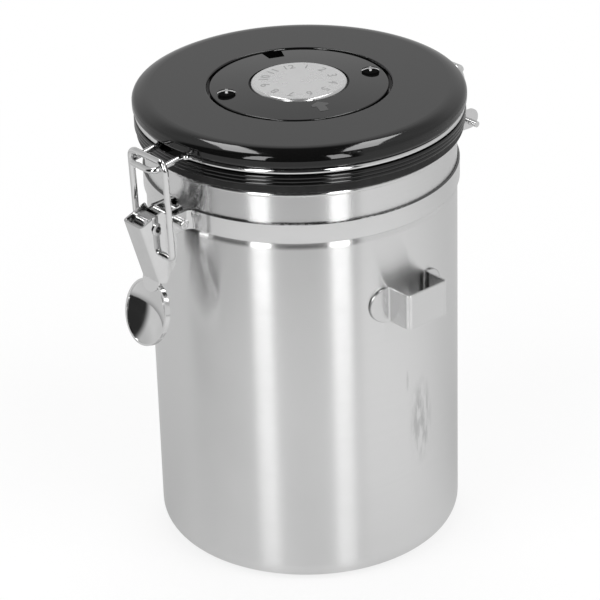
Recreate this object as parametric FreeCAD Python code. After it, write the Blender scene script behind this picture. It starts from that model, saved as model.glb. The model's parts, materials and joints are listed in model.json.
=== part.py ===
"""Food canister with a clamped lid: steel body, neck band, toggle latch, wire hinge, vented lid and dial.

Frame: millimetres, +Z up, origin at the middle of the base on the surface it stands on. The latch is at -Y,
the hinge at +Y and the scoop holder at +X.
"""
import FreeCAD, Part
import math
import os

V = FreeCAD.Vector
UP = V(0, 0, 1)
ALONG_X = V(1, 0, 0)
CENTRE = V(0, 0, 0)

# Canister body
body_radius = 60.0
body_wall = 0.7
body_height = 168.5
base_thickness = 0.8
base_round = 7.5
rim_bead = 1.0
waist_height = 3.0
waist_depth = 0.45

# Clearances: turning fits, fixed fits, flat faces that slide or lie together, parts that only rest together
running_clearance = 0.06
fixed_clearance = 0.02
face_gap = 0.05
sheet_gap = 0.25
seat_gap = 0.3

# Neck band with front ears, and the rivet that draws the ears together
band_drop = 12.7
band_height = 8.0
band_thickness = 0.9
band_edge_round = 0.25
ear_gap = 0.45
ear_bend = 3.0
ear_past_rivet = 4.6
ear_round = 3.0
clamp_standoff = 5.6
clamp_barrel_radius = 2.1
clamp_neck_radius = 1.6
clamp_end_radius = 1.9
clamp_end_length = 3.1
clamp_end_round = 0.5
clamp_head_radius = 2.7
clamp_head_length = 1.4
clamp_head_round = 1.0

# Latch bracket under the band's ears, and the hollow rivet that the lever turns on
bracket_sheet = 1.0
bracket_nose = 4.0
bracket_flare = 0.8
bracket_tab_half = 2.2
bracket_tab_height = 3.0
pivot_past_clamp = 9.8
rivet_radius = 1.8
rivet_bore_radius = 1.2
rivet_rim_radius = 2.4
rivet_rim = 0.5

# Lever of folded sheet: its side outline goes round from the top front corner, as Y and Z from the pivot
lever_sheet = 0.8
lever_width = 11.1
lever_fold_round = 1.5
lever_back_round = 3.0
lever_outline = ((-7.5, 2.4), (3.0, 6.3), (9.1, -6.2), (8.2, -16.0), (3.1, -23.3), (-0.1, -22.5))
tongue_length = 4.9
tab_half_width = 11.9
tab_half_length = 13.0
tab_drop = 0.1
tab_depth = 3.0
tab_lip = 2.0
tab_tilt = 15.0

# Wire bail of the latch
bail_wire = 2.5
bail_side_gap = 0.4
bail_pin_forward = 3.0
bail_pin_drop = 12.0
bail_bar_behind = 3.15
bail_bend = 3.0
bail_pin_bend = 2.2
bail_pin_inset = 0.6
bail_rest_gap = 0.3

# Wire round the lid, with a nose at the front for the bail and one at the rear for the hinge link
lid_wire = 2.3
lid_wire_inset = 1.85
nose_bend = 3.0
front_nose_half = 7.2
front_nose_length = 13.4
front_nose_lead = 2.0
front_nose_dip = 1.6
front_nose_dip_bend = 4.0
rear_nose_half = 5.9
rear_nose_level = 3.2
rear_nose_bend = 4.0
rear_nose_past = 5.4
rear_nose_lead = 3.0

# Rear hinge: a bracket on the band, and a wire link between the bracket and the lid's rear nose
hinge_standoff = 17.6
hinge_drop = 1.8
hinge_sheet = 1.0
hinge_bend = 2.0
hinge_ear_radius = 4.0
hinge_ear_lift = 1.4
link_bar_drop = 5.7
link_lean = 1.7
link_wire = 2.5
link_bend = 4.2
link_pin_bend = 1.9
link_pin_past = 3.6
link_ear_gap = 1.0
link_rest_gap = 0.25
link_side_gap = 1.4

# Scoop holder
holder_bottom = 110.2
holder_height = 14.2
holder_sheet = 1.0
holder_edge_round = 0.25
holder_half_width = 10.0
holder_depth = 11.0
holder_tab_half = 17.9
holder_foot_bend = 1.2
holder_corner_bend = 1.3

# Lid base, gasket and cap
lid_overhang = 3.75
lid_cap_height = 6.8
lid_edge_width = 6.35
lid_edge_height = 3.6
lid_edge_soft = 1.0
lid_lip_round = 1.4
lid_wall = 2.5
flange_inset = 0.45
flange_height = 4.2
flange_beads = 3
flange_bead_depth = 0.35
gasket_thickness = 3.2
gasket_inset = 1.15
gasket_round = 0.8
plug_clearance = 1.7
plug_wall = 2.0
plug_depth = 7.5
base_floor = 2.0
base_wall = 2.0

# Cover plate in the middle of the lid, with two screws and a vent notch
plate_radius = 34.1
plate_groove = 1.2
plate_sink = 0.2
plate_thickness = 3.2
plate_crown = 1.2
plate_edge_round = 0.4
plate_turn = 67.4
notch_outer = 8.4
notch_inner = 6.2
notch_depth = 7.3
screw_inset = 5.3
screw_radius = 1.4
screw_head_radius = 3.4
screw_head_side = 1.2
screw_head_dome = 0.9
screw_slot = 1.0
screw_slot_depth = 1.1
screw_cross = 4.4
screw_turn = 52.0
screw_seat_gap = 0.2
screw_seat_sink = 0.1
screw_bite = 4.0
screw_post_radius = 3.2
recess_wall = 2.0
recess_edge_round = 0.6
recess_floor = 2.2
recess_ledge = 13.8

# Month dial
dial_radius = 18.4
dial_side_gap = 0.75
dial_rise = 1.7
dial_thickness = 3.0
dial_crown = 0.25
dial_edge_round = 1.1
dial_under_gap = 0.15
hub_radius = 4.0
hub_groove = 0.6
hub_end = 0.6
clip_overhang = 2.5
clip_thickness = 0.8

# One-way gas valve in the lid base
valve_bore = 14.0
valve_flange_overlap = 3.0
valve_flange = 1.5
valve_washer = 0.8
valve_skirt = 4.6
valve_skirt_wall = 1.6
valve_lip = 0.7
vent_count = 6
vent_radius = 1.1
vent_circle = 4.6
stem_radius = 1.5
stem_gap = 0.1
disc_radius = 8.4
disc_thickness = 1.2
disc_lift = 0.8
cage_wall = 1.2
cage_gap = 1.0
cage_slots = 4
cage_slot_width = 3.0
cage_slot_height = 1.6
filter_thickness = 0.6

# Radii and heights that follow from the sizes above
inner_radius = body_radius - body_wall
lid_radius = body_radius + lid_overhang
gasket_bottom = body_height + seat_gap
gasket_top = gasket_bottom + gasket_thickness
groove_bottom = gasket_top + flange_height
groove_height = lid_wire + 2 * sheet_gap
groove_top = groove_bottom + groove_height
lid_top = groove_top + lid_cap_height
lid_wire_z = groove_bottom + groove_height / 2
lid_wire_ring = lid_radius - lid_wire_inset
upstand_radius = lid_wire_ring - lid_wire / 2 - face_gap
plug_radius = inner_radius - plug_clearance
floor_top = gasket_top + base_floor
cap_under = lid_top - lid_wall
plate_top = lid_top - plate_sink
plate_crest = plate_top + plate_crown
plate_bottom = plate_top - plate_thickness
recess_under = plate_bottom - recess_floor
dial_top = plate_top + dial_rise
dial_bottom = dial_top - dial_thickness
clip_top = plate_bottom - dial_under_gap
clip_bottom = clip_top - clip_thickness
screw_circle = plate_radius - screw_inset
screw_seat = plate_top - screw_seat_sink
valve_seat = floor_top + valve_washer + valve_flange
valve_flange_radius = valve_bore + valve_flange_overlap
stem_height = disc_thickness + disc_lift + 3 * face_gap

band_top = body_height - band_drop
band_bottom = band_top - band_height
band_middle = (band_bottom + band_top) / 2
band_outside = body_radius + face_gap + band_thickness
clamp_y = -(body_radius + clamp_standoff)
pivot_y = clamp_y - pivot_past_clamp
pivot_z = band_middle
lever_half = lever_width / 2
ear_inside = lever_half + ear_gap
ear_outside = ear_inside + band_thickness
bracket_half = lever_half - lever_sheet - sheet_gap

front_nose_y = -(lid_radius + front_nose_length)
front_nose_z = lid_wire_z - front_nose_dip
front_dip_y = -(lid_radius + front_nose_lead)
bail_half = front_nose_half + lid_wire / 2 + bail_side_gap + bail_wire / 2
bail_bar_y = front_nose_y + bail_bar_behind
nose_under_bar = front_nose_z + front_nose_dip * bail_bar_behind / (front_dip_y - front_nose_y)
bail_bar_z = nose_under_bar + (lid_wire + bail_wire) / 2 + bail_rest_gap
bail_pin_y = pivot_y + bail_pin_forward
bail_pin_z = pivot_z - bail_pin_drop

hinge_y = body_radius + hinge_standoff
hinge_z = band_middle - hinge_drop
link_bar_z = lid_wire_z - link_bar_drop
link_bar_y = hinge_y - link_lean
link_half = rear_nose_half + lid_wire / 2 + link_side_gap + link_wire / 2
hinge_ear_inside = link_half + link_pin_bend + link_ear_gap
rear_nose_z = link_bar_z - (lid_wire + link_wire) / 2 - link_rest_gap


def ground(x, y):
    return V(x, y, 0)


def radial(r, z):
    return V(r, 0, z)


def upright(y, z):
    return V(0, y, z)


def edges(stops, place):
    """Lines and arcs through the stops. A stop is a point, or the middle and the end of an arc."""
    made = []
    here = place(*stops[0])
    for stop in stops[1:]:
        if isinstance(stop[0], tuple):
            middle, end = place(*stop[0]), place(*stop[1])
            made.append(Part.Arc(here, middle, end).toShape())
        else:
            end = place(*stop)
            made.append(Part.LineSegment(here, end).toShape())
        here = end
    return made


def closed_face(stops, place):
    return Part.Face(Part.Wire(edges([*stops, stops[0]], place)))


def turned(stops):
    """A solid of revolution about Z from a closed profile of radius and height."""
    return closed_face(stops, radial).revolve(CENTRE, UP, 360)


def across(stops, half):
    """A side outline in Y and Z, made as wide as twice half, across X."""
    face = closed_face(stops, upright)
    face.translate(V(-half, 0, 0))
    return face.extrude(V(2 * half, 0, 0))


def disc(radius, bottom, top, x=0.0, y=0.0):
    return Part.makeCylinder(radius, top - bottom, V(x, y, bottom))


def ring(outer, inner, bottom, top):
    return disc(outer, bottom, top).cut(disc(inner, bottom, top))


def rod(radius, start, end, y, z):
    """A round bar along X."""
    return Part.makeCylinder(radius, end - start, V(start, y, z), ALONG_X)


def quarter(centre_r, centre_z, radius, start, end):
    """Middle and end of a quarter arc in a turned profile, between two angles in degrees."""
    def at(angle):
        a = math.radians(angle)
        return centre_r + radius * math.cos(a), centre_z + radius * math.sin(a)
    return at((start + end) / 2), at(end)


def mirrored_pair(half):
    """A piece and its mirror image across X, joined."""
    return half.fuse(half.mirror(CENTRE, ALONG_X)).removeSplitter()


def bent(points, bends):
    """Straight runs through the points, with a tangent arc of the given radius at each inner point."""
    made = []
    here = points[0]
    for before, corner, after, bend in zip(points, points[1:], points[2:], bends):
        back = (before - corner).normalize()
        ahead = (after - corner).normalize()
        half_turn = back.getAngle(ahead) / 2
        setback = bend / math.tan(half_turn)
        middle = (back + ahead).normalize()
        start, end = corner + back * setback, corner + ahead * setback
        top = corner + middle * (bend / math.sin(half_turn) - bend)
        made.append(Part.LineSegment(here, start).toShape())
        made.append(Part.Arc(start, top, end).toShape())
        here = end
    made.append(Part.LineSegment(here, points[-1]).toShape())
    return made


def outward_bend(ring_radius, spoke, bend, ring_side):
    """Where a ring about Z turns out to -Y, into a spoke at X = spoke: on the ring, half way, on the spoke.

    ring_side is 1 where the ring lies beyond the spoke, and -1 where it lies between the spokes.
    """
    x = spoke + ring_side * bend
    centre = V(x, -math.sqrt((ring_radius + bend) ** 2 - x**2), 0)
    to_ring = (CENTRE - centre).normalize() * bend
    to_spoke = V(-ring_side * bend, 0, 0)
    half_way = (to_ring + to_spoke).normalize() * bend
    return centre + to_ring, centre + half_way, centre + to_spoke


def ring_point(ring_radius, x):
    return V(x, -math.sqrt(ring_radius**2 - x**2), 0)


def swept(path, section):
    return Part.Wire(path).makePipeShell([Part.Wire(section)], True, False)


def round_wire(path, diameter):
    """A round wire along a path."""
    start = path[0]
    first = start.firstVertex(True).Point
    heading = start.tangentAt(start.getParameterByLength(0))
    return swept(path, Part.Circle(first, heading, diameter / 2).toShape())


def strap(path, thickness, bottom, height, edge_round=None):
    """A flat strap on edge along a path in the ground plane, with its long edges rounded if a radius is given."""
    start = path[0]
    first = start.firstVertex(True).Point
    heading = start.tangentAt(start.getParameterByLength(0))
    out = heading.cross(UP) * (thickness / 2)
    low, high = V(0, 0, bottom), V(0, 0, bottom + height)
    corners = [first + out + low, first + out + high, first - out + high, first - out + low]
    if edge_round is None:
        return swept(path, Part.makePolygon([*corners, corners[0]]))
    underside = first + low
    return swept(path, bent([underside, *corners, underside], [edge_round] * len(corners)))


def edges_at(shape, middles):
    """The edges of a shape whose middles are at the given points."""
    return [e for e in shape.Edges for middle in middles if (e.CenterOfMass - middle).Length < 1e-3]


def level_edges(shape, *heights):
    """The edges of a shape that lie flat at one of the given heights."""
    return [e for e in shape.Edges for z in heights
            if abs(e.BoundBox.ZMin - z) < 1e-6 and abs(e.BoundBox.ZMax - z) < 1e-6]


def crown_rise(r, rim, crown):
    """Rise of a round crown above its rim, at a radius."""
    ball = (rim**2 + crown**2) / (2 * crown)
    return math.sqrt(ball**2 - r**2) - (ball - crown)


def to_rear(shape):
    """Mirrors a piece made at -Y to +Y."""
    return shape.mirror(CENTRE, V(0, 1, 0))


def screw_places():
    for turn in (plate_turn, plate_turn + 180):
        angle = math.radians(turn)
        yield screw_circle * math.cos(angle), screw_circle * math.sin(angle)


def waist(radius, way):
    """Where the clamped band draws the wall in at its lower edge: a shallow groove, going up (1) or down (-1)."""
    bend = (waist_height**2 + waist_depth**2) / (4 * waist_depth)
    half = math.asin(waist_height / 2 / bend) / 2
    ease_r = radius - bend + bend * math.cos(half)
    ease = way * (waist_height - bend * math.sin(half))
    rise = way * waist_height
    return [
        (radius, band_bottom - rise),
        ((ease_r, band_bottom - ease), (radius - waist_depth / 2, band_bottom - rise / 2)),
        ((radius - waist_depth, band_bottom), (radius - waist_depth / 2, band_bottom + rise / 2)),
        ((ease_r, band_bottom + ease), (radius, band_bottom + rise)),
    ]


def canister_body():
    bead_r, bead_z = inner_radius + rim_bead, body_height - rim_bead
    wall_top = bead_z - math.sqrt(rim_bead**2 - (body_radius - bead_r) ** 2)
    inner_round = base_round - body_wall
    return turned([
        (0, 0),
        (body_radius - base_round, 0),
        quarter(body_radius - base_round, base_round, base_round, -90, 0),
        *waist(body_radius, 1),
        (body_radius, wall_top),
        ((bead_r + rim_bead, bead_z), (bead_r, body_height)),
        quarter(bead_r, bead_z, rim_bead, 90, 180),
        *waist(inner_radius, -1),
        (inner_radius, base_thickness + inner_round),
        quarter(inner_radius - inner_round, base_thickness + inner_round, inner_round, 0, -90),
        (0, base_thickness),
    ])


def neck_band():
    path_radius = body_radius + face_gap + band_thickness / 2
    spoke = ear_inside + band_thickness / 2
    on_ring, half_way, on_spoke = outward_bend(path_radius, spoke, ear_bend, 1)
    ear_end = V(spoke, clamp_y - ear_past_rivet, 0)
    path = [
        Part.Arc(V(0, path_radius, 0), V(path_radius, 0, 0), on_ring).toShape(),
        Part.Arc(on_ring, half_way, on_spoke).toShape(),
        Part.LineSegment(on_spoke, ear_end).toShape(),
    ]
    half = strap(path, band_thickness, band_bottom, band_height)
    tips = [ear_end + UP * band_bottom, ear_end + UP * band_top]
    half = half.makeFillet(ear_round, edges_at(half, tips))
    hole = rod(clamp_neck_radius + fixed_clearance, ear_inside - band_thickness, ear_outside + band_thickness,
               clamp_y, band_middle)
    half = half.makeFillet(band_edge_round, level_edges(half, band_bottom, band_top))
    return mirrored_pair(half.cut(hole))


def clamp_rivet():
    barrel = rod(clamp_barrel_radius, -ear_inside, ear_inside, clamp_y, band_middle)
    neck = rod(clamp_neck_radius, -ear_outside, ear_outside, clamp_y, band_middle)
    end = rod(clamp_end_radius, ear_outside, ear_outside + clamp_end_length, clamp_y, band_middle)
    tip = V(ear_outside + clamp_end_length, clamp_y, band_middle)
    end = end.makeFillet(clamp_end_round, edges_at(end, [tip]))
    head = rod(clamp_head_radius, -ear_outside - clamp_head_length, -ear_outside, clamp_y, band_middle)
    rim = V(-ear_outside - clamp_head_length, clamp_y, band_middle)
    head = head.makeFillet(clamp_head_round, edges_at(head, [rim]))
    return barrel.multiFuse([neck, end, head]).removeSplitter()


def latch_bracket():
    front = clamp_y + clamp_barrel_radius + sheet_gap
    back = front + bracket_sheet
    cheek_top, cheek_bottom = pivot_z + bracket_nose + bracket_flare, pivot_z - bracket_nose - bracket_flare
    tab_top = cheek_top + bracket_tab_height
    open_y = pivot_y - 2 * bracket_nose
    cheeks = across([
        (back, cheek_bottom),
        (back, cheek_top),
        (pivot_y, pivot_z + bracket_nose),
        ((pivot_y - bracket_nose, pivot_z), (pivot_y, pivot_z - bracket_nose)),
    ], bracket_half)
    between = across([
        (front, cheek_bottom), (front, tab_top), (open_y, tab_top), (open_y, cheek_bottom),
    ], bracket_half - bracket_sheet)
    plate = across([
        (front, cheek_bottom), (back, cheek_bottom), (back, cheek_top), (front, cheek_top),
    ], bracket_half)
    tab = across([(front, pivot_z), (back, pivot_z), (back, tab_top), (front, tab_top)], bracket_tab_half)
    holes = [
        rod(rivet_radius + fixed_clearance, -lever_half, lever_half, pivot_y, pivot_z),
        rod(clamp_barrel_radius + fixed_clearance, -lever_half, lever_half, clamp_y, band_middle),
    ]
    return cheeks.cut(between).multiFuse([plate, tab]).removeSplitter().cut(holes)


def lever_rivet():
    inside = lever_half + face_gap
    tube = rod(rivet_radius, -inside - rivet_rim, inside + rivet_rim, pivot_y, pivot_z)
    rims = [
        rod(rivet_rim_radius, inside, inside + rivet_rim, pivot_y, pivot_z),
        rod(rivet_rim_radius, -inside - rivet_rim, -inside, pivot_y, pivot_z),
    ]
    bore = rod(rivet_bore_radius, -lever_width, lever_width, pivot_y, pivot_z)
    return tube.multiFuse(rims).cut(bore).removeSplitter()


def oval(middle, half_width, half_length, along):
    """An oval face with its width along X and its length along the given direction."""
    short, long = sorted((ALONG_X * half_width, along * half_length), key=lambda axis: axis.Length)
    return Part.Face(Part.Wire(Part.Ellipse(middle + long, middle + short, middle).toShape()))


def thumb_tab(foot):
    """Oval thumb piece below the lever's foot: a flat tongue, then a dish with a lip round its edge."""
    tilt = math.radians(tab_tilt)
    down = V(0, -math.sin(tilt), -math.cos(tilt))
    inward = V(0, math.cos(tilt), -math.sin(tilt))
    side = ALONG_X * (lever_half - lever_sheet)
    root = foot - down * lever_sheet
    tongue_edge = [
        Part.LineSegment(foot - side, root - side).toShape(),
        Part.LineSegment(root - side, root + side).toShape(),
        Part.LineSegment(root + side, foot + side).toShape(),
        Part.Arc(foot + side, foot + down * tongue_length, foot - side).toShape(),
    ]
    tongue = Part.Face(Part.Wire(tongue_edge)).extrude(inward * lever_sheet)
    middle = foot + down * (tab_drop + tab_half_length)
    outline = oval(middle, tab_half_width, tab_half_length, down)
    inside = oval(middle, tab_half_width - lever_sheet, tab_half_length - lever_sheet, down)
    lip = outline.extrude(inward * tab_lip).cut(inside.extrude(inward * tab_lip))
    ball_radius = (tab_half_length**2 + tab_depth**2) / (2 * tab_depth)
    ball = middle + inward * (tab_depth - ball_radius)
    shell = Part.makeSphere(ball_radius + lever_sheet, ball).cut(Part.makeSphere(ball_radius, ball))
    dish = shell.common(outline.extrude(inward * (tab_depth + 2 * lever_sheet)))
    return tongue.multiFuse([lip, dish])


def latch_lever():
    corners = [V(0, pivot_y + dy, pivot_z + dz) for dy, dz in lever_outline]
    block = across([(p.y, p.z) for p in corners], lever_half)
    top_front, foot = corners[0], corners[-1]
    length = (foot - top_front).normalize()
    inward = V(0, -length.z, length.y)
    side = ALONG_X * lever_half
    fold_middles = [(top_front + foot) * 0.5 + side, (top_front + foot) * 0.5 - side]
    block = block.makeFillet(lever_fold_round, edges_at(block, fold_middles))
    block = block.makeFillet(lever_back_round, edges_at(block, corners[2:4]))
    spare = lever_width
    above, below = top_front + inward * lever_sheet - length * spare, foot + inward * lever_sheet + length * spare
    deep = inward * 3 * spare
    hollow = across([(p.y, p.z) for p in (above, below, below + deep, above + deep)], lever_half - lever_sheet)
    inner_side = ALONG_X * (lever_half - lever_sheet)
    inner_middles = [(above + below) * 0.5 + inner_side, (above + below) * 0.5 - inner_side]
    hollow = hollow.makeFillet(lever_fold_round - lever_sheet, edges_at(hollow, inner_middles))
    holes = [
        rod(rivet_radius + running_clearance, -lever_width, lever_width, pivot_y, pivot_z),
        rod(bail_wire / 2 + running_clearance, -lever_width, lever_width, bail_pin_y, bail_pin_z),
    ]
    return block.cut(hollow).fuse(thumb_tab(foot)).cut(holes).removeSplitter()


def latch_bail():
    pin_end = lever_half - lever_sheet - bail_pin_inset
    path = bent([
        V(0, bail_bar_y, bail_bar_z),
        V(bail_half, bail_bar_y, bail_bar_z),
        V(bail_half, bail_pin_y, bail_pin_z),
        V(pin_end, bail_pin_y, bail_pin_z),
    ], [bail_bend, bail_pin_bend])
    return mirrored_pair(round_wire(path, bail_wire))


def rear_hinge_bracket():
    path_radius = band_outside + fixed_clearance + hinge_sheet / 2
    spoke = hinge_ear_inside + hinge_sheet / 2
    on_ring, half_way, on_spoke = outward_bend(path_radius, spoke, hinge_bend, -1)
    ear_end = V(spoke, -(hinge_y + hinge_ear_radius), 0)
    start = V(0, -path_radius, 0)
    path = [
        Part.Arc(start, ring_point(path_radius, on_ring.x / 2), on_ring).toShape(),
        Part.Arc(on_ring, half_way, on_spoke).toShape(),
        Part.LineSegment(on_spoke, ear_end).toShape(),
    ]
    ear_z = hinge_z + hinge_ear_lift
    low = min(band_bottom, ear_z - hinge_ear_radius)
    high = max(band_top, ear_z + hinge_ear_radius)
    both = to_rear(mirrored_pair(strap(path, hinge_sheet, low, high - low)))
    inner_y = body_radius - band_height
    outline = across([
        (inner_y, band_bottom),
        (inner_y, band_top),
        (band_outside, band_top),
        (hinge_y, ear_z + hinge_ear_radius),
        ((hinge_y + hinge_ear_radius, ear_z), (hinge_y, ear_z - hinge_ear_radius)),
        (band_outside, band_bottom),
    ], 2 * hinge_ear_inside)
    reach = 2 * hinge_ear_inside
    hole = rod(link_wire / 2 + running_clearance, -reach, reach, hinge_y, hinge_z)
    return both.common(outline).cut(hole).removeSplitter()


def hinge_link():
    pin_end = hinge_ear_inside + hinge_sheet + link_pin_past
    path = bent([
        V(0, link_bar_y, link_bar_z),
        V(link_half, link_bar_y, link_bar_z),
        V(link_half, hinge_y, hinge_z),
        V(pin_end, hinge_y, hinge_z),
    ], [link_bend, link_pin_bend])
    return mirrored_pair(round_wire(path, link_wire))


def scoop_holder():
    path_radius = body_radius + face_gap + holder_sheet / 2
    spoke = holder_half_width - holder_sheet / 2
    outer_y = -(body_radius + holder_depth - holder_sheet / 2)
    on_ring, half_way, on_spoke = outward_bend(path_radius, spoke, holder_foot_bend, 1)
    tab_end = ring_point(path_radius, holder_tab_half)
    foot = [
        Part.Arc(tab_end, ring_point(path_radius, (tab_end.x + on_ring.x) / 2), on_ring).toShape(),
        Part.Arc(on_ring, half_way, on_spoke).toShape(),
    ]
    front = bent([on_spoke, V(spoke, outer_y, 0), V(0, outer_y, 0)], [holder_corner_bend])
    both = mirrored_pair(strap(foot + front, holder_sheet, holder_bottom, holder_height, holder_edge_round))
    end_round = holder_height / 2
    middle = holder_bottom + end_round
    straight = holder_tab_half - end_round
    rounded = Part.Face(Part.Wire(edges([
        (-straight, holder_bottom),
        (straight, holder_bottom),
        ((holder_tab_half, middle), (straight, holder_bottom + holder_height)),
        (-straight, holder_bottom + holder_height),
        ((-holder_tab_half, middle), (-straight, holder_bottom)),
    ], radial))).extrude(V(0, -2 * body_radius, 0))
    shape = both.common(rounded).removeSplitter()
    shape.rotate(CENTRE, UP, 90)
    return shape


def soft_corner(outer, top):
    """The cap's edge: a wide arc off the flat top, then a small one onto the side."""
    width, height = lid_edge_width, lid_edge_height
    small = height - lid_edge_soft
    run = width - small
    wide = (run**2 + height**2 - small**2) / (2 * (height - small))
    start_r = outer - width
    wide_z = top - wide
    meet = math.degrees(math.atan2(top - height - wide_z, run))
    return [
        (start_r, top),
        quarter(start_r, wide_z, wide, 90, meet),
        quarter(outer - small, top - height, small, meet, 0),
    ]


def lid_cap():
    skirt_inside = upstand_radius + sheet_gap
    recess_radius = plate_radius + plate_groove
    recess_hole = plate_radius - recess_ledge
    soft = recess_edge_round
    lip = lid_lip_round
    cap = turned([
        (recess_hole, recess_under),
        (recess_hole, plate_bottom),
        (recess_radius, plate_bottom),
        (recess_radius, lid_top - soft),
        quarter(recess_radius + soft, lid_top - soft, soft, 180, 90),
        *soft_corner(lid_radius, lid_top),
        (lid_radius, groove_top + lip),
        quarter(lid_radius - lip, groove_top + lip, lip, 0, -90),
        (skirt_inside, groove_top),
        (skirt_inside, cap_under),
        (recess_radius + recess_wall, cap_under),
        (recess_radius + recess_wall, recess_under),
    ])
    holes = [disc(screw_radius + sheet_gap, recess_under, plate_bottom, x, y) for x, y in screw_places()]
    return cap.cut(holes)


def lid_base():
    flange_radius = lid_radius - flange_inset
    plug_bottom = gasket_top - plug_depth
    pitch = flange_height / flange_beads
    beads = []
    for i in range(flange_beads):
        low = gasket_top + i * pitch
        beads.append(((flange_radius, low + pitch / 2), (flange_radius - flange_bead_depth, low + pitch)))
    base = turned([
        (valve_bore, gasket_top),
        (plug_radius - plug_wall, gasket_top),
        (plug_radius - plug_wall, plug_bottom),
        (plug_radius, plug_bottom),
        (plug_radius, gasket_top),
        (flange_radius - flange_bead_depth, gasket_top),
        *beads,
        (upstand_radius, groove_bottom),
        (upstand_radius, cap_under),
        (upstand_radius - base_wall, cap_under),
        (upstand_radius - base_wall, floor_top),
        (valve_bore, floor_top),
    ])
    posts = [disc(screw_post_radius, floor_top, recess_under, x, y) for x, y in screw_places()]
    bores = [disc(screw_radius + fixed_clearance, recess_under - screw_bite, recess_under, x, y)
             for x, y in screw_places()]
    return base.multiFuse(posts).cut(bores).removeSplitter()


def lid_gasket():
    outer = lid_radius - gasket_inset
    inner = plug_radius + face_gap
    edge = gasket_round
    return turned([
        (inner, gasket_bottom),
        (outer - edge, gasket_bottom),
        quarter(outer - edge, gasket_bottom + edge, edge, -90, 0),
        (outer, gasket_top),
        (inner, gasket_top),
    ])


def lid_wire_frame():
    level = V(0, 0, lid_wire_z)
    front_bend = outward_bend(lid_wire_ring, front_nose_half, nose_bend, 1)
    rear_bend = outward_bend(lid_wire_ring, rear_nose_half, nose_bend, 1)
    on_ring, half_way, on_spoke = (p + level for p in front_bend)
    rear_ring, rear_half, rear_spoke = (V(p.x, -p.y, lid_wire_z) for p in rear_bend)
    front_nose = bent([
        V(0, front_nose_y, front_nose_z),
        V(front_nose_half, front_nose_y, front_nose_z),
        V(front_nose_half, front_dip_y, lid_wire_z),
        on_spoke,
    ], [nose_bend, front_nose_dip_bend])
    tip_y = link_bar_y + rear_nose_past
    rear_nose = bent([
        rear_spoke,
        rear_spoke + V(0, rear_nose_level, 0),
        V(rear_nose_half, link_bar_y - rear_nose_lead, rear_nose_z),
        V(rear_nose_half, tip_y, rear_nose_z),
        V(0, tip_y, rear_nose_z),
    ], [rear_nose_bend, rear_nose_bend, nose_bend])
    path = [
        *front_nose,
        Part.Arc(on_spoke, half_way, on_ring).toShape(),
        Part.Arc(on_ring, V(lid_wire_ring, 0, lid_wire_z), rear_ring).toShape(),
        Part.Arc(rear_ring, rear_half, rear_spoke).toShape(),
        *rear_nose,
    ]
    return mirrored_pair(round_wire(path, lid_wire))


def cover_plate():
    half_crown = plate_top + crown_rise(plate_radius / 2, plate_radius, plate_crown)
    plate = turned([
        (0, plate_bottom),
        (plate_radius, plate_bottom),
        (plate_radius, plate_top),
        ((plate_radius / 2, half_crown), (0, plate_crest)),
    ])
    hub_hole = disc(hub_radius + running_clearance, plate_bottom, plate_crest)
    dial_recess = disc(dial_radius + dial_side_gap, dial_bottom - dial_under_gap, plate_crest)
    cuts = [hub_hole, dial_recess]
    seat_radius = screw_head_radius + screw_seat_gap
    for x, y in screw_places():
        cuts.append(disc(screw_radius + sheet_gap, plate_bottom, plate_crest, x, y))
        cuts.append(disc(seat_radius, screw_seat, plate_crest, x, y))
    inner = plate_radius - notch_depth
    rim = plate_radius + plate_groove
    notch = closed_face([
        (inner, -notch_inner / 2), (rim, -notch_outer / 2), (rim, notch_outer / 2), (inner, notch_inner / 2),
    ], ground).extrude(V(0, 0, plate_crest - plate_bottom))
    notch.translate(V(0, 0, plate_bottom))
    notch.rotate(CENTRE, UP, plate_turn + 90)
    plate = plate.cut([*cuts, notch])
    return plate.makeFillet(plate_edge_round, level_edges(plate, plate_top))


def cover_screws():
    shoulder = screw_seat + screw_head_side
    crest = shoulder + screw_head_dome
    half_dome = shoulder + crown_rise(screw_head_radius / 2, screw_head_radius, screw_head_dome)
    head = turned([
        (0, screw_seat),
        (screw_head_radius, screw_seat),
        (screw_head_radius, shoulder),
        ((screw_head_radius / 2, half_dome), (0, crest)),
    ])
    slots = []
    for length, turn in ((2 * screw_head_radius, screw_turn), (screw_cross, screw_turn + 90)):
        slot = Part.makeBox(length, screw_slot, screw_slot_depth,
                            V(-length / 2, -screw_slot / 2, crest - screw_slot_depth))
        slot.rotate(CENTRE, UP, turn)
        slots.append(slot)
    shank = disc(screw_radius, recess_under - screw_bite, screw_seat)
    screw = head.fuse(shank).cut(slots).removeSplitter()
    screws = []
    for x, y in screw_places():
        placed = screw.copy()
        placed.translate(V(x, y, 0))
        screws.append(placed)
    return Part.makeCompound(screws)


def date_dial():
    side_top = dial_top - dial_crown
    edge = dial_edge_round
    hub_bottom = clip_bottom - hub_end
    neck = hub_radius - hub_groove
    crown_r = dial_radius - edge
    half_r = crown_r / 2
    half_z = side_top + crown_rise(half_r, crown_r, dial_crown)
    return turned([
        (0, hub_bottom),
        (hub_radius, hub_bottom),
        (hub_radius, clip_bottom),
        (neck, clip_bottom),
        (neck, clip_top),
        (hub_radius, clip_top),
        (hub_radius, dial_bottom),
        (dial_radius, dial_bottom),
        (dial_radius, side_top - edge),
        quarter(crown_r, side_top - edge, edge, 0, 90),
        ((half_r, half_z), (0, dial_top)),
    ])


def dial_clip():
    return ring(hub_radius + clip_overhang, hub_radius - hub_groove + fixed_clearance, clip_bottom, clip_top)


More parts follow.
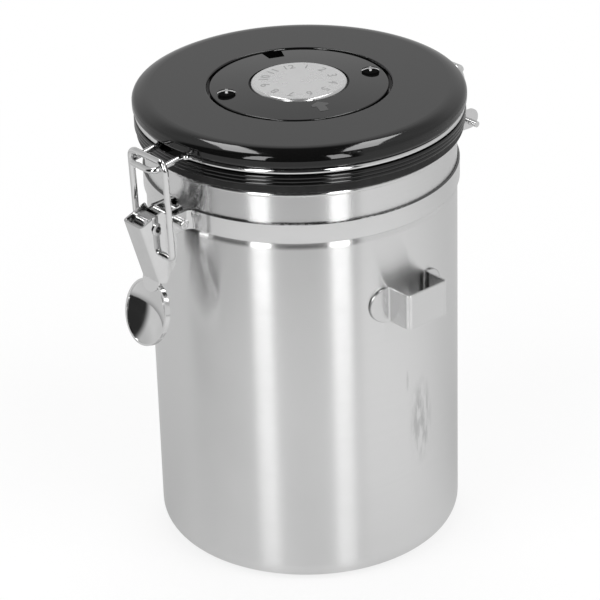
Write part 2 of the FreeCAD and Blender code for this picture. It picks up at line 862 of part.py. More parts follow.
def valve_body():
    skirt_outside = valve_bore - sheet_gap
    skirt_inside = skirt_outside - valve_skirt_wall
    flange_bottom = floor_top + valve_washer
    skirt_bottom = flange_bottom - valve_skirt
    body = turned([
        (0, flange_bottom),
        (skirt_inside, flange_bottom),
        (skirt_inside, skirt_bottom + valve_lip),
        (skirt_inside - valve_lip, skirt_bottom + valve_lip),
        (skirt_inside - valve_lip, skirt_bottom),
        (skirt_outside, skirt_bottom),
        (skirt_outside, flange_bottom),
        (valve_flange_radius, flange_bottom),
        (valve_flange_radius, valve_seat),
        (stem_radius, valve_seat),
        (stem_radius, valve_seat + stem_height),
        (0, valve_seat + stem_height),
    ])
    vents = []
    for i in range(vent_count):
        angle = 2 * math.pi * i / vent_count
        vents.append(disc(vent_radius, flange_bottom, valve_seat,
                          vent_circle * math.cos(angle), vent_circle * math.sin(angle)))
    return body.cut(vents)


def valve_washer_ring():
    return ring(valve_flange_radius, valve_bore, floor_top, floor_top + valve_washer)


def valve_disc():
    bottom = valve_seat + face_gap
    return ring(disc_radius, stem_radius + stem_gap, bottom, bottom + disc_thickness)


def valve_cage():
    inside = disc_radius + cage_gap
    ceiling = valve_seat + stem_height
    cup = disc(inside + cage_wall, valve_seat, ceiling + cage_wall).cut(disc(inside, valve_seat, ceiling))
    slots = []
    for i in range(cage_slots):
        slot = Part.makeBox(2 * inside, cage_slot_width, cage_slot_height,
                            V(inside / 2, -cage_slot_width / 2, valve_seat))
        slot.rotate(CENTRE, UP, 360 * i / cage_slots)
        slots.append(slot)
    return cup.cut(slots)


def valve_filter():
    skirt_inside = valve_bore - sheet_gap - valve_skirt_wall
    bottom = floor_top + valve_washer - valve_skirt + valve_lip
    return disc(skirt_inside - face_gap, bottom, bottom + filter_thickness)


PIECES = {
    "canister_body": canister_body,
    "neck_band": neck_band,
    "clamp_rivet": clamp_rivet,
    "latch_bracket": latch_bracket,
    "lever_rivet": lever_rivet,
    "rear_hinge_bracket": rear_hinge_bracket,
    "scoop_holder": scoop_holder,
    "latch_lever": latch_lever,
    "latch_bail": latch_bail,
    "hinge_link": hinge_link,
    "lid_cap": lid_cap,
    "lid_base": lid_base,
    "lid_gasket": lid_gasket,
    "lid_wire_frame": lid_wire_frame,
    "cover_plate": cover_plate,
    "cover_screws": cover_screws,
    "date_dial": date_dial,
    "dial_clip": dial_clip,
    "valve_body": valve_body,
    "valve_washer_ring": valve_washer_ring,
    "valve_disc": valve_disc,
    "valve_cage": valve_cage,
    "valve_filter": valve_filter,
}

os.makedirs("parts", exist_ok=True)
for name, make in PIECES.items():
    shape = make()
    shape.exportStep(f"parts/{name}.step")
    print(name, len(shape.Solids), shape.isValid(), round(shape.Volume, 2))
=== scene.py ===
"""Looks of the food canister: camera, studio light, procedural materials, and the marks on its lid.

Metres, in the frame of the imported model: +Z up, the latch at -Y, the hinge at +Y, the scoop holder at +X.
"""

import json
import math

import bmesh
import bpy
from mathutils import Matrix, Quaternion, Vector


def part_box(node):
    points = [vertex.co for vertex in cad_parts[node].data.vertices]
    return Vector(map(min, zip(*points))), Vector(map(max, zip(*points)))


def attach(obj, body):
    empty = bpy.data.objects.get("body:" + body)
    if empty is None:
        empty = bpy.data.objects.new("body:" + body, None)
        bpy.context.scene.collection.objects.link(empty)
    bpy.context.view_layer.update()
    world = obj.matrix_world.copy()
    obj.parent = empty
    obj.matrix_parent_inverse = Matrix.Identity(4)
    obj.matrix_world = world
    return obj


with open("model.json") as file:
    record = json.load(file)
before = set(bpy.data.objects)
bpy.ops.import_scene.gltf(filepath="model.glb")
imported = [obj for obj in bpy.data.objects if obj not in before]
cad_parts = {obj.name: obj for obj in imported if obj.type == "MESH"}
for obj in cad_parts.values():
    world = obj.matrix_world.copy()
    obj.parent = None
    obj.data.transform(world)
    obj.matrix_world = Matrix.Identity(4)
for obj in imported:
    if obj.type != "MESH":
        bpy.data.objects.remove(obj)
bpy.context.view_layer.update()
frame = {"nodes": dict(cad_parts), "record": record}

MM = 0.001

# Camera, fitted to the photograph's frame
FRAME_PX = 600
FOCAL_PX = 2872.467
SHIFT_PX = (5.428, 7.026)
SENSOR_MM = 36.0
CAMERA_AZIMUTH = math.radians(49.5)
CAMERA_ELEVATION = math.radians(27.56337)
CAMERA_ROLL = math.radians(-1.65072)
CAMERA_DISTANCE = 1.13449
CAMERA_CLIP_END = 100
LOOK_AT = Vector((0, 0, 0.09))

# What the camera sees behind the canister, and the fill that lights plain colours
BACKDROP = 1.0
FILL = 0.45

# White tent that metal and gloss show. An edge is the range in which one part of the tent passes into the
# next, measured to the front, to the right or upwards on a unit vector.
TENT_OPENING = 0.03
TENT_WALL = 0.68
TENT_LOW_WALL = 0.84
TENT_ROOF = 0.42
TENT_SIDE_WALL = 0.6
TENT_SIDE_LOW = 0.74
OPENING_EDGE = (-0.1, 0.15)
RIGHT_WALL_SLANT = 0.8
RIGHT_WALL_EDGE = (-0.05, 0.1)
SLOT_SIDE_EDGE = (0.16, 0.22)
SLOT_END_EDGE = (0.62, 0.8)
LOW_WALL_EDGE = (0.25, 0.4)
ROOF_EDGE = (0.5, 0.75)
REAR_WALL_EDGE = (-0.65, -0.35)
SIDE_LOW_EDGE = (0.05, 0.35)
LEAST_HEIGHT = 0.01

# Table top, as metal and gloss show it, and the white floor with the canister's shadow
TABLE_RADIUS = 0.6
TABLE_NEAR = 0.38
TABLE_AXIS = math.radians(16)
TABLE_FRONT_EDGE = (-0.35, 0.9)
TABLE_GLOW = 0.83
TABLE_SIDE_GLOW = 0.55
TABLE_EDGE_GLOW = 0.2
TABLE_SHADE = 0.84
TABLE_SHADE_REACH = (0.05, 0.26)
FLOOR_RADIUS = 5.0
FLOOR_SEGMENTS = 96
FLOOR_DROP = 0.0002
FLOOR_TONE = 0.95
FLOOR_GLOW = 0.78
SHADOW_REACH = (0.1, 0.45)

# Strip lamps that only metal and gloss show: two upright at the front, two level ones overhead
STRIP_RADIANCE = 6.2
FRONT_STRIP_AZIMUTHS = {"front_strip_left": math.radians(-29.0), "front_strip_right": math.radians(24.6)}
FRONT_STRIP_DISTANCE = 0.65
FRONT_STRIP_WIDTH = 0.144
FRONT_STRIP_BOTTOM = 0.127
FRONT_STRIP_HEIGHT = 0.84
TOP_STRIP_HEIGHT = 0.6
TOP_STRIP_SIDES = {"top_strip_left": -0.137, "top_strip_right": 0.137}
TOP_STRIP_WIDTH = 0.085
TOP_STRIP_LENGTH = 0.35
TOP_STRIP_BACK = 0.135

# Soft boxes that light the plain colours and the floor: azimuths and elevations in degrees
SOFT_BOX_PLACES = {"soft_box_left": (-50, 48), "soft_box_right": (50, 48), "soft_box_back": (180, 60)}
SOFT_BOX_SIZE = 0.9
SOFT_BOX_DISTANCE = 1.5
SOFT_BOX_RADIANCE = 2.8

# Sizes of the model that the materials follow
BAND_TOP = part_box("neck_band")[1].z
# Heights of the painted shade that darkens the band's top rim
BAND_SHADE_RIM = (BAND_TOP - 0.5 * MM, BAND_TOP - 0.2 * MM)
SOFT_EDGE = 0.2 * MM
# Where the holder gets painted shade inside and round its tabs, and a painted highlight on its corners
HOLDER_INSIDE = 9.1 * MM
HOLDER_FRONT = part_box("scoop_holder")[1].x - 0.9 * MM
HOLDER_ROOT = (61.3 * MM, 62.2 * MM)
HOLDER_HIGHLIGHT_CORNER = (79.25 * MM, 79.55 * MM)
HOLDER_MIDDLE = 117.3 * MM
HOLDER_TAB_PLACE = 10.8 * MM
HOLDER_TAB_RIM = (6.8 * MM, 6.95 * MM)
HOLDER_TAB_LINE = 60.25 * MM
SCREW_ANGLE = math.radians(67.4)
SCREW_PLACE = Vector((math.cos(SCREW_ANGLE), math.sin(SCREW_ANGLE), 0)) * 28.8 * MM
SCREW_TURN = math.radians(52)
SCREW_RADIUS = 3.4 * MM
SCREW_SLOT = 1.0 * MM
SCREW_CROSS = 4.4 * MM
# Soft edge of the light grey in the screw slots, which is worn paint and a painted highlight
SCREW_BARE_AND_GLINT_EDGE = (0.01 * MM, 0.03 * MM)

# Dial and cover plate, with the marks on them
DIAL_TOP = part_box("date_dial")[1].z
DIAL_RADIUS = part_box("date_dial")[1].x
DIAL_CROWN = 0.25 * MM
DIAL_EDGE = 1.1 * MM
DIAL_POLISH = (DIAL_RADIUS - 1.4 * DIAL_EDGE, DIAL_RADIUS - 0.9 * DIAL_EDGE)
MONTHS = 12
MONTH_STEP = 2 * math.pi / MONTHS
TWELVE_ANGLE = math.radians(156.4)
NUMERAL_RING = 13.2 * MM
NUMERAL_SIZE = 5.2 * MM
NUMERAL_RELIEF = 0.06 * MM
MERGE_DISTANCE = 1e-7
PLATE_RIM_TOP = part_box("lid_cap")[1].z - 0.2 * MM
PLATE_RADIUS = 34.1 * MM
PLATE_CROWN = 1.2 * MM
INDEX_TURN = math.radians(-21.5)
INDEX_HALF_MM = [(20.4, 0.0), (22.6, 3.3), (24.2, 3.3), (24.2, 1.7), (28.4, 1.7)]
INDEX_SINK = 0.05 * MM
INDEX_RELIEF = 0.08 * MM

# Marks on the body: their middles, and one over their half sizes along each axis
SMEAR_PLACE = (0.0597, 0.0062, 0.0612)
SMEAR_SPREAD = (100, 133, 45)
SCRATCH_PLACE = (0.0598, -0.001, 0.081)
SCRATCH_SPREAD = (100, 1100, 160)

# Middle of a noise's values, and the turn that makes brushed metal smear what it shows up and down
NOISE_CORE = (0.3, 0.7)
UPRIGHT_SMEAR = 0.25


def polar(azimuth, elevation):
    """Unit vector towards an azimuth from the camera's side and an elevation, both in radians."""
    angle = CAMERA_AZIMUTH + azimuth
    flat = math.cos(elevation)
    return Vector((math.sin(angle) * flat, -math.cos(angle) * flat, math.sin(elevation)))


def add_camera():
    """The photograph's camera."""
    data = bpy.data.cameras.new("camera")
    data.sensor_fit = "HORIZONTAL"
    data.sensor_width = SENSOR_MM
    data.lens = FOCAL_PX / FRAME_PX * SENSOR_MM
    data.shift_x = -SHIFT_PX[0] / FRAME_PX
    data.shift_y = SHIFT_PX[1] / FRAME_PX
    data.clip_end = CAMERA_CLIP_END
    camera = bpy.data.objects.new("camera", data)
    back = polar(0, CAMERA_ELEVATION)
    camera.location = LOOK_AT + back * CAMERA_DISTANCE
    camera.rotation_mode = "QUATERNION"
    camera.rotation_quaternion = (-back).to_track_quat("-Z", "Y") @ Quaternion((0, 0, 1), CAMERA_ROLL)
    bpy.context.scene.collection.objects.link(camera)
    bpy.context.scene.camera = camera


class Nodes:
    """Short ways to add nodes to one node tree. A value is a constant, or another node's output."""

    def __init__(self, tree):
        self.tree = tree

    def put(self, socket, value):
        if isinstance(value, bpy.types.NodeSocket):
            self.tree.links.new(value, socket)
        else:
            socket.default_value = value

    def add(self, kind, settings=None, **inputs):
        """A new node. An input is named with _ for each space, or numbered as _0, _1 and so on."""
        node = self.tree.nodes.new(kind)
        for name, value in (settings or {}).items():
            setattr(node, name, value)
        for name, value in inputs.items():
            key = int(name[1:]) if name[0] == "_" else name.replace("_", " ")
            self.put(node.inputs[key], value)
        return node

    def math(self, operation, a, b=0.0):
        return self.add("ShaderNodeMath", {"operation": operation}, _0=a, _1=b).outputs[0]

    def vector(self, operation, a, b=(0, 0, 0)):
        return self.add("ShaderNodeVectorMath", {"operation": operation}, _0=a, _1=b).outputs["Vector"]

    def dot(self, a, b):
        node = self.add("ShaderNodeVectorMath", {"operation": "DOT_PRODUCT"}, _0=a, _1=tuple(b))
        return node.outputs["Value"]

    def length(self, vector):
        return self.add("ShaderNodeVectorMath", {"operation": "LENGTH"}, _0=vector).outputs["Value"]

    def parts(self, vector):
        return self.add("ShaderNodeSeparateXYZ", Vector=vector).outputs

    def span(self, value, low, high, to_low=0.0, to_high=1.0):
        """Smooth step from one result at low to another at high."""
        node = self.add("ShaderNodeMapRange", {"interpolation_type": "SMOOTHSTEP"}, Value=value,
                        From_Min=low, From_Max=high, To_Min=to_low, To_Max=to_high)
        return node.outputs["Result"]

    def mix(self, share, first, second):
        return self.add("ShaderNodeMix", _0=share, _2=first, _3=second).outputs[0]

    def blend(self, share, first, second):
        node = self.add("ShaderNodeMix", {"data_type": "RGBA"}, _0=share, _6=first, _7=second)
        return node.outputs[2]

    def place(self):
        return self.add("ShaderNodeTexCoord").outputs["Object"]

    def from_axis(self, place):
        """Distance from the canister's axis."""
        return self.length(self.vector("MULTIPLY", place, (1, 1, 0)))

    def noise(self, place, scale, detail, roughness=0.5):
        """Noise with a scale per metre along each axis."""
        mapped = self.add("ShaderNodeMapping", Vector=place, Scale=scale)
        node = self.add("ShaderNodeTexNoise", Vector=mapped.outputs[0], Scale=1.0, Detail=detail,
                        Roughness=roughness)
        return node.outputs[0]

    def mirrored(self, path):
        """1 for rays that metal, gloss or glass sends on."""
        return self.math("MAXIMUM", path["Is Glossy Ray"], path["Is Transmission Ray"])


def grey(value):
    return (value, value, value, 1.0)


def tent_strength(n):
    """Light of the tent: dark at its front and left, up to the right-hand wall, and in a slot overhead."""
    towards = n.add("ShaderNodeTexCoord").outputs["Generated"]
    front = n.dot(towards, polar(0, 0))
    right = n.dot(towards, polar(math.pi / 2, 0))
    height = n.parts(towards)["Z"]
    slanted = n.math("SUBTRACT", right, n.math("MULTIPLY", front, RIGHT_WALL_SLANT))
    left = n.math("SUBTRACT", 1.0, n.span(slanted, *RIGHT_WALL_EDGE))
    opening = n.math("MULTIPLY", n.span(front, *OPENING_EDGE), left)
    sideways = n.math("DIVIDE", n.math("ABSOLUTE", right), n.math("MAXIMUM", height, LEAST_HEIGHT))
    slot = n.math("MULTIPLY", n.span(sideways, *SLOT_SIDE_EDGE, 1.0, 0.0), n.span(height, *SLOT_END_EDGE))
    low = n.span(height, *LOW_WALL_EDGE, TENT_LOW_WALL, TENT_WALL)
    rear = n.math("MINIMUM", low, n.span(height, *ROOF_EDGE, TENT_WALL, TENT_ROOF))
    beside = n.span(height, *SIDE_LOW_EDGE, TENT_SIDE_LOW, TENT_SIDE_WALL)
    wall = n.mix(n.span(front, *REAR_WALL_EDGE, 1.0, 0.0), beside, rear)
    return n.mix(n.math("MAXIMUM", opening, slot), wall, TENT_OPENING)


def build_world():
    """White to the camera, a plain fill to diffuse rays, and to metal and gloss a white tent."""
    world = bpy.data.worlds.new("studio")
    world.use_nodes = True
    n = Nodes(world.node_tree)
    n.tree.nodes.clear()
    path = n.add("ShaderNodeLightPath").outputs
    fill, walls, backdrop = [
        n.add("ShaderNodeBackground", Color=grey(1.0), Strength=strength).outputs[0]
        for strength in (FILL, tent_strength(n), BACKDROP)
    ]
    unseen = n.add("ShaderNodeMixShader", _0=n.mirrored(path), _1=fill, _2=walls)
    whole = n.add("ShaderNodeMixShader", _0=path["Is Camera Ray"], _1=unseen.outputs[0], _2=backdrop)
    n.add("ShaderNodeOutputWorld", Surface=whole.outputs[0])
    bpy.context.scene.world = world


def add_lamp(name, place, facing, width, height, radiance):
    """A rectangular lamp that the camera doesn't see. Its height runs upwards."""
    light = bpy.data.lights.new(name, "AREA")
    light.shape = "RECTANGLE"
    light.size = width
    light.size_y = height
    light.energy = math.pi * radiance * width * height
    lamp = bpy.data.objects.new(name, light)
    lamp.location = place
    lamp.rotation_mode = "QUATERNION"
    lamp.rotation_quaternion = facing.to_track_quat("-Z", "Y")
    lamp.visible_camera = False
    bpy.context.scene.collection.objects.link(lamp)
    return lamp


def add_strip_lamps():
    """Narrow lamps that make the streaks on metal and gloss. The top ones run away from the camera."""
    middle = Vector((0, 0, FRONT_STRIP_BOTTOM + FRONT_STRIP_HEIGHT / 2))
    for name, azimuth in FRONT_STRIP_AZIMUTHS.items():
        away = polar(azimuth, 0)
        place = away * FRONT_STRIP_DISTANCE + middle
        strip = add_lamp(name, place, -away, FRONT_STRIP_WIDTH, FRONT_STRIP_HEIGHT, STRIP_RADIANCE)
        strip.visible_diffuse = False
    overhead = polar(math.pi, 0) * TOP_STRIP_BACK + Vector((0, 0, TOP_STRIP_HEIGHT))
    down = Vector((0, 0, -1))
    for name, side in TOP_STRIP_SIDES.items():
        place = polar(math.pi / 2, 0) * side + overhead
        strip = add_lamp(name, place, down, TOP_STRIP_WIDTH, TOP_STRIP_LENGTH, STRIP_RADIANCE)
        strip.rotation_quaternion = Quaternion((0, 0, 1), CAMERA_AZIMUTH)
        strip.visible_diffuse = False


def add_soft_boxes():
    """Large lamps for the plain colours, which metal and gloss don't show."""
    for name, (azimuth, elevation) in SOFT_BOX_PLACES.items():
        away = polar(math.radians(azimuth), math.radians(elevation))
        place = LOOK_AT + away * SOFT_BOX_DISTANCE
        box = add_lamp(name, place, -away, SOFT_BOX_SIZE, SOFT_BOX_SIZE, SOFT_BOX_RADIANCE)
        box.visible_glossy = False


def floor_white():
    """White paint that takes the canister's shadow, lifted to the backdrop's white.

    Metal and gloss show it as a glow: bright in front, and darker at the sides, at the rim and close by.
    """
    material = bpy.data.materials.new("floor_white")
    material.use_nodes = True
    n = Nodes(material.node_tree)
    n.tree.nodes.clear()
    path = n.add("ShaderNodeLightPath").outputs
    seen = path["Is Camera Ray"]
    mirrored = n.mirrored(path)
    place = n.place()
    reach = n.length(place)
    front = n.dot(n.vector("NORMALIZE", place), polar(TABLE_AXIS, 0))
    glow = n.span(front, *TABLE_FRONT_EDGE, TABLE_SIDE_GLOW, TABLE_GLOW)
    shaded = n.math("MULTIPLY", glow, n.span(reach, *TABLE_SHADE_REACH, TABLE_SHADE, 1.0))
    fading = n.mix(n.span(reach, TABLE_NEAR, TABLE_RADIUS), shaded, TABLE_EDGE_GLOW)
    strength = n.mix(seen, n.math("MULTIPLY", mirrored, fading), BACKDROP)
    light = n.add("ShaderNodeEmission", Color=grey(1.0), Strength=strength)
    paint = n.add("ShaderNodeBsdfDiffuse", Color=grey(FLOOR_TONE))
    clear = n.mix(seen, FLOOR_GLOW, n.span(reach, *SHADOW_REACH, FLOOR_GLOW, 1.0))
    share = n.math("MULTIPLY", n.math("MAXIMUM", seen, mirrored), clear)
    mixed = n.add("ShaderNodeMixShader", _0=share, _1=paint.outputs[0], _2=light.outputs[0])
    n.add("ShaderNodeOutputMaterial", Surface=mixed.outputs[0])
    return material


def add_floor():
    """A round white table top, and the floor beyond it, which metal and gloss don't show."""
    white = floor_white()
    for name, inner, outer in (("table_top", 0.0, TABLE_RADIUS), ("floor", TABLE_RADIUS, FLOOR_RADIUS)):
        whole = inner == 0.0
        mesh = bpy.data.meshes.new(name)
        shape = bmesh.new()
        bmesh.ops.create_circle(shape, cap_ends=whole, segments=FLOOR_SEGMENTS, radius=outer)
        if not whole:
            bmesh.ops.create_circle(shape, segments=FLOOR_SEGMENTS, radius=inner)
            bmesh.ops.bridge_loops(shape, edges=shape.edges)
        bmesh.ops.recalc_face_normals(shape, faces=shape.faces)
        shape.to_mesh(mesh)
        shape.free()
        mesh.materials.append(white)
        floor = bpy.data.objects.new(name, mesh)
        floor.location.z = -FLOOR_DROP
        floor.visible_glossy = whole
        bpy.context.scene.collection.objects.link(floor)


def new_material(name):
    """A new material, its nodes and its shader."""
    material = bpy.data.materials.new(name)
    material.use_nodes = True
    return material, Nodes(material.node_tree), material.node_tree.nodes["Principled BSDF"]


def finish_material(n, shader, colour, roughness, height, bump):
    """Joins colour, roughness and bump height to the shader. bump is the depth in metres of a full step."""
    n.put(shader.inputs["Base Color"], colour)
    n.put(shader.inputs["Roughness"], roughness)
    relief = n.add("ShaderNodeBump", Height=height, Strength=1.0, Distance=bump)
    n.put(shader.inputs["Normal"], relief.outputs[0])


def brush(n, shader, anisotropy):
    """Makes the shader a metal that smears what it shows up and down."""
    shader.inputs["Metallic"].default_value = 1.0
    shader.inputs["Anisotropic"].default_value = anisotropy
    shader.inputs["Anisotropic Rotation"].default_value = UPRIGHT_SMEAR
    tangent = n.add("ShaderNodeTangent", {"direction_type": "RADIAL", "axis": "Z"})
    n.put(shader.inputs["Tangent"], tangent.outputs[0])


def patch(n, place, centre, spread, core):
    """Share of a soft round patch: 1 within core of its size, and 0 beyond its size."""
    offset = n.vector("SUBTRACT", place, centre)
    return n.span(n.length(n.vector("MULTIPLY", offset, spread)), core, 1.0, 1.0, 0.0)


def body_steel():
    """Steel brushed round the body, with faint handling marks and a smear on the side."""
    material, n, shader = new_material("body_steel")
    dark = grey(0.75)
    light = grey(0.84)
    mark_tone = grey(0.3)
    smear_share = 0.42
    smear_core = 0.35
    smear_window = (0.38, 0.62)
    scratch_share = 0.2
    scratch_core = 0.2
    coarse_share = 0.5
    grain_window = (0.25, 0.75)
    grain_rough = (0.232, 0.252)
    cloud_window = (0.45, 0.75)
    cloud_rough = 0.02
    bump = 4e-6
    place = n.place()
    fine = n.noise(place, (40, 40, 5200), detail=4.0, roughness=0.6)
    coarse = n.noise(place, (14, 14, 900), detail=3.0)
    cloud = n.noise(place, (22, 22, 16), detail=3.0, roughness=0.55)
    spots = n.span(n.noise(place, (420, 420, 90), detail=3.0, roughness=0.6), *smear_window)
    grain = n.mix(coarse_share, fine, coarse)
    smear = n.math("MULTIPLY", patch(n, place, SMEAR_PLACE, SMEAR_SPREAD, smear_core), spots)
    scratch = patch(n, place, SCRATCH_PLACE, SCRATCH_SPREAD, scratch_core)
    marks = n.math("MAXIMUM", n.math("MULTIPLY", smear, smear_share),
                   n.math("MULTIPLY", scratch, scratch_share))
    colour = n.blend(marks, n.blend(grain, dark, light), mark_tone)
    hazed = n.span(cloud, *cloud_window, 0.0, cloud_rough)
    rough = n.math("ADD", n.span(grain, *grain_window, *grain_rough), hazed)
    brush(n, shader, anisotropy=1.0)
    finish_material(n, shader, colour, rough, grain, bump)
    return material


def rolled_sheet(n, place, dark, light):
    """Rolling lines, and a sheet's colour with these lines and small darker marks."""
    mark_tone = grey(0.5)
    mark_share = 0.18
    mark_window = (0.62, 0.78)
    lines = n.noise(place, (60, 60, 2600), detail=3.0, roughness=0.55)
    spots = n.noise(place, (420, 420, 420), detail=4.0, roughness=0.65)
    marks = n.span(spots, *mark_window, 0.0, mark_share)
    return lines, n.blend(marks, n.blend(lines, dark, light), mark_tone)


def band_steel():
    """Bright rolled sheet with painted shade at the band's top: a dark rim there."""
    material, n, shader = new_material("band_steel")
    rim_shade_tone = grey(0.06)
    rim_shade_share = 0.85
    line_rough = (0.15, 0.2)
    cloud_window = (0.4, 0.7)
    cloud_rough = 0.04
    bump = 3e-6
    place = n.place()
    lines, sheet = rolled_sheet(n, place, grey(0.69), grey(0.77))
    cloud = n.noise(place, (45, 45, 70), detail=2.0)
    # Painted shade: the band's top rim is darkened nearly to black.
    colour = n.blend(n.span(n.parts(place)["Z"], *BAND_SHADE_RIM, 0.0, rim_shade_share), sheet, rim_shade_tone)
    hazed = n.span(cloud, *cloud_window, 0.0, cloud_rough)
    rough = n.math("ADD", n.span(lines, *NOISE_CORE, *line_rough), hazed)
    brush(n, shader, anisotropy=0.3)
    finish_material(n, shader, colour, rough, lines, bump)
    return material


def bright_steel():
    """Polished wire and stampings, with fine polishing marks and a little haze."""
    material, n, shader = new_material("bright_steel")
    dark = grey(0.68)
    light = grey(0.76)
    haze_window = (0.35, 0.7)
    haze_rough = (0.05, 0.11)
    mark_window = (0.55, 0.8)
    mark_rough = 0.06
    bump = 1.5e-6
    place = n.place()
    haze = n.noise(place, (180, 180, 180), detail=3.0)
    marks = n.noise(place, (900, 900, 2400), detail=3.0, roughness=0.6)
    rubbed = n.span(marks, *mark_window, 0.0, mark_rough)
    rough = n.math("ADD", n.span(haze, *haze_window, *haze_rough), rubbed)
    shader.inputs["Metallic"].default_value = 1.0
    finish_material(n, shader, n.blend(haze, dark, light), rough, marks, bump)
    return material


def holder_edges(n, place, sheet):
    """The holder's sheet colour, with a painted highlight on its outer corners and painted shade as a thin
    dark line round its tabs.
    """
    corner_highlight_tone = grey(0.81)
    line_shade_tone = grey(0.05)
    rim_shade_tone = grey(0.5)
    part = n.parts(place)
    side = n.math("ABSOLUTE", part["Y"])
    # Painted highlight: the outer corners are lighter.
    corner_highlight = n.span(n.math("ADD", part["X"], side), *HOLDER_HIGHLIGHT_CORNER)
    past = n.math("MAXIMUM", n.math("SUBTRACT", side, HOLDER_TAB_PLACE), 0.0)
    above = n.math("SUBTRACT", part["Z"], HOLDER_MIDDLE)
    reach = n.length(n.add("ShaderNodeCombineXYZ", Y=past, Z=above).outputs[0])
    # Painted shade: a dark line round the tabs' rims, near black where they meet the body.
    rim = n.math("MULTIPLY", n.span(reach, *HOLDER_TAB_RIM), n.span(past, 0.0, SOFT_EDGE))
    off_body = n.span(n.from_axis(place), HOLDER_TAB_LINE, HOLDER_TAB_LINE + SOFT_EDGE)
    return n.blend(rim, n.blend(corner_highlight, sheet, corner_highlight_tone), n.blend(off_body, line_shade_tone, rim_shade_tone))


def holder_steel():
    """Rolled sheet brushed upright, so that the bends show the lamps as soft lines. Painted shade darkens
    it inside.
    """
    material, n, shader = new_material("holder_steel")
    root_shade_tone = grey(0.05)
    inside_shade_tone = grey(0.4)
    line_rough = (0.24, 0.27)
    bump = 3e-6
    place = n.place()
    lines, sheet = rolled_sheet(n, place, grey(0.68), grey(0.78))
    part = n.parts(place)
    side = n.math("ABSOLUTE", part["Y"])
    # Painted shade inside the holder, falling to near black at its root next to the body.
    within = n.span(side, HOLDER_INSIDE, HOLDER_INSIDE + SOFT_EDGE, 1.0, 0.0)
    behind = n.span(part["X"], HOLDER_FRONT, HOLDER_FRONT + SOFT_EDGE, 1.0, 0.0)
    inner = n.blend(n.span(part["X"], *HOLDER_ROOT), root_shade_tone, inside_shade_tone)
    colour = n.blend(n.math("MULTIPLY", within, behind), holder_edges(n, place, sheet), inner)
    brush(n, shader, anisotropy=0.9)
    finish_material(n, shader, colour, n.span(lines, *NOISE_CORE, *line_rough), lines, bump)
    return material


def black_plastic(name, tone, gloss):
    """Glossy moulded black plastic with a slight ripple, fine rub marks and a few specks of dust."""
    material, n, shader = new_material(name)
    dust_tone = grey(0.35)
    dust_share = 0.12
    dust_rough = 1.5
    speck_scale = 420.0
    speck_size = (0.03, 0.07)
    speck_choice = (0.82, 0.9)
    rub_window = (0.4, 0.75)
    rub_rough = 0.05
    bump = 6e-6
    place = n.place()
    ripple = n.noise(place, (160, 160, 160), detail=2.0, roughness=0.4)
    rubs = n.noise(place, (900, 2600, 900), detail=3.0, roughness=0.6)
    specks = n.add("ShaderNodeTexVoronoi", Vector=place, Scale=speck_scale).outputs
    dust = n.math("MULTIPLY", n.span(specks["Distance"], *speck_size, 1.0, 0.0),
                  n.span(specks["Color"], *speck_choice))
    shown = n.math("MULTIPLY", dust, dust_share)
    rubbed = n.span(rubs, *rub_window, gloss, gloss + rub_rough)
    rough = n.math("ADD", rubbed, n.math("MULTIPLY", shown, dust_rough))
    finish_material(n, shader, n.blend(shown, grey(tone), dust_tone), rough, ripple, bump)
    return material


def dial_silver():
    """Silver-coloured plastic with fine metal flake and a polished edge."""
    material, n, shader = new_material("dial_silver")
    dark = grey(0.6)
    light = grey(0.65)
    face_rough = (0.26, 0.32)
    edge_share = 0.6
    bump = 1e-6
    place = n.place()
    flake = n.noise(place, (5200, 5200, 5200), detail=2.0)
    cloud = n.noise(place, (120, 120, 120), detail=2.0)
    polished = n.span(n.from_axis(place), *DIAL_POLISH, 1.0, edge_share)
    rough = n.math("MULTIPLY", n.span(cloud, *NOISE_CORE, *face_rough), polished)
    shader.inputs["Metallic"].default_value = 0.7
    finish_material(n, shader, n.blend(flake, dark, light), rough, cloud, bump)
    return material


def printed(name, scale, detail, dark, light, rough):
    """Paint of a printed mark, with a fine grain."""
    material, n, shader = new_material(name)
    bump = 4e-6
    grain = n.noise(n.place(), (scale, scale, scale), detail)
    colour = n.blend(grain, grey(dark), grey(light))
    finish_material(n, shader, colour, n.span(grain, *NOISE_CORE, *rough), grain, bump)
    return material


def seal_rubber():
    """Matt silicone with a fine moulded texture."""
    material, n, shader = new_material("seal_rubber")
    dark = grey(0.008)
    light = grey(0.016)
    bloom_window = (0.4, 0.75)
    fine_rough = (0.42, 0.58)
    bump = 1e-5
    place = n.place()
    fine = n.noise(place, (2200, 2200, 2200), detail=3.0, roughness=0.6)
    bloom = n.noise(place, (140, 140, 140), detail=3.0)
    shader.inputs["Specular IOR Level"].default_value = 0.3
    colour = n.blend(n.span(bloom, *bloom_window), dark, light)
    finish_material(n, shader, colour, n.span(fine, *NOISE_CORE, *fine_rough), fine, bump)
    return material


def slot_distance(n, offset, angle, start, end):
    """Distance to a screw's slot, which runs from start to end along an angle. It's below 0 in the slot."""
    along = n.dot(offset, (math.cos(angle), math.sin(angle), 0))
    across = n.dot(offset, (-math.sin(angle), math.cos(angle), 0))
    from_middle = n.math("ABSOLUTE", n.math("SUBTRACT", along, (start + end) / 2))
    past_end = n.math("SUBTRACT", from_middle, (end - start) / 2)
    past_side = n.math("SUBTRACT", n.math("ABSOLUTE", across), SCREW_SLOT / 2)
    return n.math("MAXIMUM", past_end, past_side)


